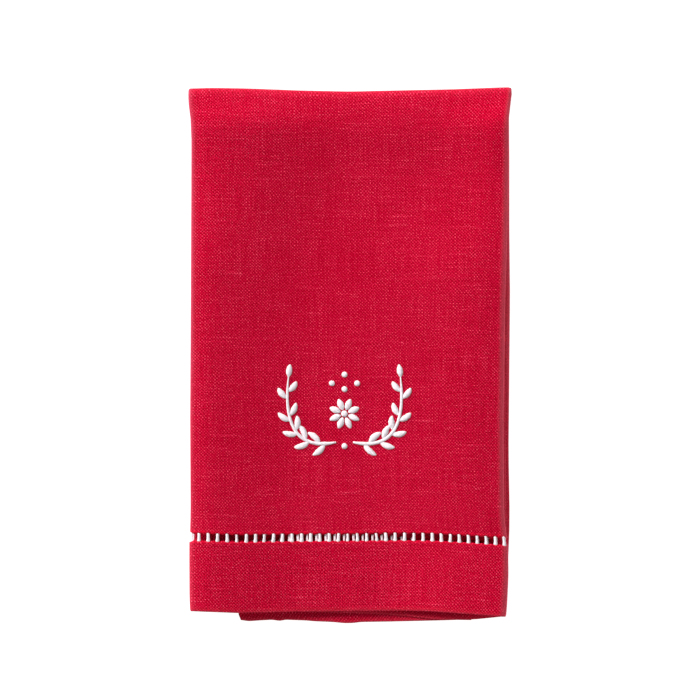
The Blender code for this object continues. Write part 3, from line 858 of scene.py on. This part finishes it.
# %% [markdown]
# ## Painted sheen, painted shade and painted highlights
#
# The linen's colour is changed in three places, each a soft hump round a line. The right fold,
# the top fold and the hem's edge get a pale pink painted sheen, weaker on the back's fold as
# painted shade. The left fold gets less red as painted shade, with a pale pink painted sheen. The
# drawn line's loose thread ends get their full red, more on its upper side and along the hem's
# turned edge as a painted highlight. A picture could hold this, but a number on each point of the
# mesh is simpler, which the linen's nodes read by name.

# %% Painted sheen, painted shade and fresh red with painted highlights
Hump = namedtuple("Hump", "share offset width")
DRAWN_FRESH_AND_LIT = Hump(1.0, 0.25, 0.45)
STRIP_FRESH_AND_LIT, SIDES_FRESH_AND_LIT = 0.35, (0.5, 1.3)  # on the bundles; below and above the line, more above as a painted highlight where that lip is shaded
# A painted highlight along the hem's turned edge.
HEM_PAINTED_LIGHT = Hump(0.25, 0.7, 0.6)
# Painted sheen along the top fold and the hem's edge.
TOP_SHEEN_PAINT = Hump(0.15, -0.5, 2.0)
HEM_SHEEN_PAINT = Hump(0.28, 0.3, 0.5)
RIGHT_SHEEN_PAINT, RIGHT_STEP, RIGHT_WIDTH = (1.0, 0.35), (310.0, 50.0), 2.6  # less on the back, where that is painted shade under the front
LEFT_SHADE_SHEEN, LEFT_STEP, LEFT_WIDTH = (0.4, 0.8), (60.0, 60.0), 1.7  # less at the hem
RIGHT_FOLD_MIDDLE = (ACROSS[0] + ACROSS[1]) / 2
TOP_FOLD_MIDDLE = (ALONG[0] + ALONG[1]) / 2


def hump(distance, form):
    return form.share * bell(distance - form.offset, form.width)


fresh_and_lit = hump(from_middle - LADDER_HALF, DRAWN_FRESH_AND_LIT)
fresh_and_lit = fresh_and_lit * np.where(on_strip, STRIP_FRESH_AND_LIT, below_above(*SIDES_FRESH_AND_LIT))
fresh_and_lit = np.maximum(fresh_and_lit, hump(from_hem, HEM_PAINTED_LIGHT))
sheen_paint = mix(*RIGHT_SHEEN_PAINT, step_up(V, *RIGHT_STEP)) * bell(S - RIGHT_FOLD_MIDDLE, RIGHT_WIDTH, 4)
sheen_paint = np.clip(sheen_paint + hump(V - TOP_FOLD_MIDDLE, TOP_SHEEN_PAINT) + hump(from_hem, HEM_SHEEN_PAINT), 0, 1)
shade_sheen_paint = mix(*LEFT_SHADE_SHEEN, step_up(V, *LEFT_STEP)) * bell(S - LEFT_FOLD_MIDDLE, LEFT_WIDTH)
for name, values in (("fresh_and_lit_edge", fresh_and_lit), ("painted_sheen_fold", sheen_paint), ("painted_shade_sheen_fold", shade_sheen_paint)):
    attribute = cloth.data.attributes.new(name, "FLOAT", "POINT")
    attribute.data.foreach_set("value", values.ravel()[used].astype(np.float32))
    print(name, "up to", values.max().round(2))

# %% [markdown]
# ## White bars of the ladder
#
# Each bundle is wrapped in white thread, drawn in at the waist and splayed at the foot where the
# needle goes back into the cloth. One bar is a tube of a dozen rings whose width follows a curve.
# All the bars are worked out at once, as one array of bars, rings and points round, and set on
# the cloth with its own directions, so those on the hidden layers and round the folds sit right
# as well.

# %% Closed tubes
def closed_tubes(rings, uv):
    """Points, faces and UVs of many tubes at once. `rings` is tube x ring x point x 3; the ends are
    closed by a fan to their middle point."""
    count, length, around = rings.shape[:3]
    body = rings.reshape(-1, 3)
    caps = rings[:, [0, -1]].mean(2).reshape(-1, 3)
    tube = np.arange(count)[:, None, None] * length * around
    ring = np.arange(length - 1)[None, :, None] * around
    here = np.arange(around)
    after = (here + 1) % around
    low_ring, high_ring = tube + ring, tube + ring + around
    quads = np.stack(np.broadcast_arrays(low_ring + here, low_ring + after,
                                         high_ring + after, high_ring + here), axis=-1)
    first = tube[:, 0] + here
    last = tube[:, 0] + (length - 1) * around + here
    low = len(body) + 2 * np.arange(count)[:, None] + 0 * here
    start_fan = np.stack([low, first - here + after, first], axis=-1)
    end_fan = np.stack([low + 1, last, last - here + after], axis=-1)
    fans = np.concatenate([start_fan.reshape(-1, 3), end_fan.reshape(-1, 3)])
    faces = quads.reshape(-1, 4).tolist() + fans.tolist()
    cap_uv = uv[:, [0, -1]].mean(2).reshape(-1, 2)
    return np.concatenate([body, caps]), faces, np.concatenate([uv.reshape(-1, 2), cap_uv])


AROUND = 10
angle_round = 2 * np.pi * np.arange(AROUND) / AROUND
print("points round a thread:", AROUND)

# %% The form of a bar
BAR_RINGS = 13
BAR_WAIST = 0.60  # half widths
BAR_FOOT = 1.00
BAR_HEAD_SHARE = 0.55  # the head spreads by this share of what the foot does
BAR_HEIGHT = 0.40
TIP_NARROWS, TIP_THINS = 0.55, 0.45
END_LEAN = (0.14, 0.16)  # foot and head are drawn a little to one side
BAR_FLATNESS = 0.6  # power of the oval's sine
t = np.linspace(-1, 1, BAR_RINGS)  # from the foot, on the hem's side, to the head
spread = np.where(t < 0, np.abs(t) ** 2, BAR_HEAD_SHARE * t ** 4)
half_width = mix(BAR_WAIST, BAR_FOOT, spread) * (1 - np.abs(t) ** 8 * TIP_NARROWS)
half_height = BAR_HEIGHT * (1 - TIP_THINS * np.abs(t) ** 6)
splay = END_LEAN[0] * np.clip(-t, 0, 1) ** 2 + END_LEAN[1] * np.clip(t, 0, 1) ** 3
flat_round = np.sign(np.sin(angle_round)) * np.abs(np.sin(angle_round)) ** BAR_FLATNESS
print("half widths of a bar (mm):", half_width.round(2))

# %% The bars on the cloth
GIRTH_VARIES, LEAN_VARIES, SHIFT_VARIES = 0.09, 0.07, 0.05
BAR_POKE = 0.30  # how far a bar's end reaches over the cloth
BAR_CLEAR = 1.5  # no bar stands nearer to a free edge
HIDDEN_RAISE = 0.95  # the left flap's bars are pressed up into the front layer's holes,
RAISE_STEP = (74.0, 20.0)  # up to this far from its fold, fading over this length
HIDDEN_GIRTH = 0.80  # those bars are drawn tighter
BOUNCE_PAINT_SHARE = 0.35  # and carry this much of the painted red bounce
bars = bar_places[(bar_places > BAR_CLEAR) & (bar_places < CUT_SIZE[0] - BAR_CLEAR)]
middles = np.repeat([LADDER_MIDDLE, CUT_SIZE[1] - LADDER_MIDDLE], len(bars))
bars = np.tile(bars, 2)
chance = np.random.default_rng(11)
girth = chance.normal(1.0, GIRTH_VARIES, len(bars))[:, None]
lean = chance.normal(0.0, LEAN_VARIES, len(bars))[:, None]
shift = chance.normal(0.0, SHIFT_VARIES, len(bars))[:, None]
s_bar = bars[:, None] + shift + lean * t + splay
v_bar = middles[:, None] + (LADDER_HALF + BAR_POKE) * t
sideways, up = cloth_directions(s_bar, v_bar, 0.1)
hidden = (s_bar > ACROSS[3]) & (v_bar < CUT_SIZE[1] / 2)
wide = (girth * half_width * np.where(hidden, HIDDEN_GIRTH, 1.0))[..., None] * np.cos(angle_round)
from_fold = s_bar - ACROSS[3]
raised = step_up(from_fold, SLIP_START, SLIP_LENGTH) * step_down(from_fold, *RAISE_STEP)
raised = HIDDEN_RAISE * hidden * raised  # the turned-over flap's own outward side looks down
high = (girth * half_height)[..., None] * flat_round - raised[..., None]
middle_line = fold(s_bar, v_bar)[:, :, None]
bar_rings = middle_line + sideways[:, :, None] * wide[..., None] + up[:, :, None] * high[..., None]
bar_uv = np.stack(np.broadcast_arrays(v_bar[..., None] + 0 * wide, wide), axis=-1)
ladder = make_piece("ladder_bars", *closed_tubes(bar_rings, bar_uv), bar_thread)
painted_bounce = np.where(hidden, BOUNCE_PAINT_SHARE, 0.0)
painted_bounce = np.concatenate([np.repeat(painted_bounce.ravel(), AROUND), painted_bounce[:, [0, -1]].ravel()])
attribute = ladder.data.attributes.new("painted_bounce", "FLOAT", "POINT")
attribute.data.foreach_set("value", painted_bounce.astype(np.float32))
print("bars made:", len(bars), " faces:", len(ladder.data.polygons))

# %% [markdown]
# ## The embroidered spray
#
# The spray is raised satin stitch: soft pads of thread that lie on the cloth, highest in the
# middle of each stroke. A leaf, a stem, a petal and a dot are all the same kind of shape, a path
# with a width and a height along it and a flattened oval across. So one function makes them all.

# %% Padded strokes on the front
MOTIF_CENTRE = np.array([-2.3, -22.6])
STROKE_SINK = 0.22  # how much of a stroke's oval is below the cloth's face
STROKE_FLATNESS = 0.72  # power of the oval's sine: below 1 the pad is flatter on top
STITCH_JITTER = 0.05  # each stitch ends a little short of the line or past it
stitch_chance = np.random.default_rng(5)


def front_height(x, y):
    """Height of the cloth's face on the front panel."""
    left = follow(FRONT_SIDES, "left", "y", y, SIDE_REACH) + SHEET / 2 + PITCH / 2
    right = follow(FRONT_SIDES, "right", "y", y, SIDE_REACH) - SHEET / 2 - RIGHT_FOLD_REACH
    return front_base(x, y)[0] + front_relief(x, y, left, right) + SHEET / 2


def strokes(paths, widths, heights):
    """Tubes from paths (stroke x ring x 2, mm from the motif's centre): the ring is an oval across
    the path, its lower half flattened into the cloth."""
    widths = widths * (1 + STITCH_JITTER * stitch_chance.standard_normal(widths.shape))
    along = one_long(np.gradient(paths, axis=1))
    across = np.stack([-along[..., 1], along[..., 0]], axis=-1)
    wide = widths[..., None] * np.cos(angle_round)
    flat = paths[:, :, None] + across[:, :, None] * wide[..., None]
    rise = np.sin(angle_round)
    rise = np.where(rise > 0, np.abs(rise) ** STROKE_FLATNESS, rise * STROKE_SINK)
    rise = heights[..., None] * rise
    x, y = flat[..., 0] + MOTIF_CENTRE[0], flat[..., 1] + MOTIF_CENTRE[1]
    rings = np.stack([x, y, front_height(x, y) + rise], axis=-1)
    step = np.linalg.norm(np.diff(paths, axis=1, prepend=paths[:, :1]), axis=-1)
    uv = np.stack([np.cumsum(step, axis=1)[..., None] + 0 * rise, wide], axis=-1)
    return rings, uv


def leaf_strokes(roots, directions, lengths, bends, half_width, height, rings=15):
    """Leaves: each runs from its root along its direction (radians), curving by `bends`, and is as
    wide as a sine to the power 0.7, so that it swells fast and ends in a soft point."""
    t = np.linspace(0, 1, rings)
    heading = directions[:, None] + bends[:, None] * (t - 0.3)
    steps = np.stack([np.cos(heading), np.sin(heading)], axis=-1)
    steps = steps * (lengths / (rings - 1))[:, None, None]
    paths = roots[:, None] + np.cumsum(steps, axis=1) - steps[:, :1]
    swell = np.sin(np.pi * (0.04 + 0.93 * t)) ** 0.7 + 0 * lengths[:, None]
    return strokes(paths, half_width * swell, height * swell)


print("front face at the motif's centre (mm):", round(float(front_height(*MOTIF_CENTRE)), 2))

# %% The two branches
BRANCH_ROUTE = np.array([(3.5, -13.2), (26.5, -18.0), (23.0, 13.6)])
LEAF_PAIRS = 5
LEAF_LENGTHS = (6.8, 5.2)
LEAF_HALF_WIDTH = 1.26
LEAF_SLANT = np.radians(48)
LEAF_SPAN = (0.12, 0.86)  # of the stem's length
LEAF_GAP = 0.4  # from the stem's middle to a leaf's root
LEAF_BEND, TIP_BEND = 0.7, 0.1  # radians over a leaf's length
STEM_HALF_WIDTH = 0.78
STEM_RINGS = 40
STEM_TAPER = 0.35
STEM_END, STEM_END_GROWTH = 0.45, 6  # its ends start at this share and soon reach the full width
STROKE_HEIGHT = 0.54


def branch(name, side):
    """A stem on a quadratic curve (start, bend, tip), with slanting leaves on both sides and one at
    its tip; `side` mirrors it."""
    last = STEM_RINGS - 1
    t = np.linspace(0, 1, STEM_RINGS)
    start, bend, tip = BRANCH_ROUTE
    stem = mix(mix(start, bend, t[:, None]), mix(bend, tip, t[:, None]), t[:, None])
    heading = np.arctan2(*np.gradient(stem, axis=0)[:, ::-1].T)
    width = STEM_HALF_WIDTH * (1 - STEM_TAPER * t)
    width = width * np.minimum(1, STEM_END + STEM_END_GROWTH * np.minimum(t, 1 - t))
    hand = np.tile([1.0, -1.0], LEAF_PAIRS)
    slots = np.repeat(np.round(np.linspace(*LEAF_SPAN, LEAF_PAIRS) * last).astype(int), 2)
    slots = np.clip(slots + np.where(hand > 0, 1, -1), 0, last)
    directions = heading[slots] + hand * LEAF_SLANT
    roots = stem[slots] + LEAF_GAP * np.stack([np.cos(directions), np.sin(directions)], axis=-1)
    leaves = leaf_strokes(
        np.concatenate([roots, stem[-1:]]), np.append(directions, heading[-1]),
        np.append(mix(*LEAF_LENGTHS, slots / last), LEAF_LENGTHS[1]),
        np.append(-hand * LEAF_BEND, TIP_BEND), LEAF_HALF_WIDTH, STROKE_HEIGHT)
    stem_parts = strokes(stem[None], width[None], np.full((1, STEM_RINGS), STROKE_HEIGHT * 0.8))
    return joined(name, [closed_tubes(*leaves), closed_tubes(*stem_parts)], side)


def joined(name, parts, side=1):
    """One object of several sets of tubes; side -1 mirrors it in the motif's upright line."""
    points, faces, uvs, base = [], [], [], 0
    for some_points, some_faces, some_uv in parts:
        faces += [[corner + base for corner in face] for face in some_faces]
        base += len(some_points)
        points.append(some_points)
        uvs.append(some_uv)
    points = np.concatenate(points)
    if side < 0:
        mirrored_x = 2 * MOTIF_CENTRE[0] - points[:, 0]
        own = front_height(points[:, 0], points[:, 1])
        there = front_height(mirrored_x, points[:, 1])
        points = np.stack([mirrored_x, points[:, 1], points[:, 2] - own + there], axis=-1)
        faces = [face[::-1] for face in faces]
    return make_piece(name, points, faces, np.concatenate(uvs), satin_thread)


branch_left = branch("spray_branch_left", -1)
branch_right = branch("spray_branch_right", 1)
print("faces a branch:", len(branch_right.data.polygons))

# %% The flower and the dots
FLOWER_CENTRE = np.array([0.0, -1.5])
PETALS = 8
PETAL_REACH = (1.7, 6.5)
PETAL_HALF_WIDTH = 1.3
EYE_RADIUS = 1.35
DOT_RADIUS = 1.2
DOT_RINGS, DOT_END = 13, 0.97  # the path stops just short of the circle, where the width is 0
DOT_CENTRES = np.array([(0.0, 8.6), (-5.2, 11.0), (5.2, 11.0), (0.0, 14.6), (0.0, -14.8)])


def dot_strokes(centre, radius, height):
    """A round pad: a short path whose width follows a half circle."""
    t = np.linspace(-DOT_END, DOT_END, DOT_RINGS)
    path = centre + np.stack([t * radius, 0 * t], axis=-1)
    round_off = np.sqrt(1 - t ** 2)
    return strokes(path[None], (radius * round_off)[None], (height * round_off ** 0.8)[None])


turns = 2 * np.pi * (np.arange(PETALS) + 0.5) / PETALS
spokes = np.stack([np.cos(turns), np.sin(turns)], axis=-1)
lengths = np.full(PETALS, PETAL_REACH[1] - PETAL_REACH[0])
petals = closed_tubes(*leaf_strokes(FLOWER_CENTRE + spokes * PETAL_REACH[0], turns, lengths,
                                    np.zeros(PETALS), PETAL_HALF_WIDTH, STROKE_HEIGHT))
eye = closed_tubes(*dot_strokes(FLOWER_CENTRE, EYE_RADIUS, STROKE_HEIGHT * 1.1))
flower = joined("spray_flower", [petals, eye])
dots = []
for number, place in enumerate(DOT_CENTRES, start=1):
    dot = closed_tubes(*dot_strokes(place, DOT_RADIUS, STROKE_HEIGHT))
    dots.append(joined(f"spray_dot_{number}", [dot]))
print("dots:", len(dots), " flower faces:", len(flower.data.polygons))

# %% [markdown]
# ## What stands for what
#
# Each new piece takes the place of the plain solid it dresses and moves with the towel's one body.

# %% Join the pieces to the frame
spray = {
    "motif_branch_left": branch_left, "motif_branch_right": branch_right, "motif_flower": flower,
    **{f"motif_dot_{number}": dot for number, dot in enumerate(dots, start=1)},
}
for node, piece in {"linen_cloth": cloth, "hemstitch_ladder": ladder, **spray}.items():
    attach(piece, "root")
    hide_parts(node)
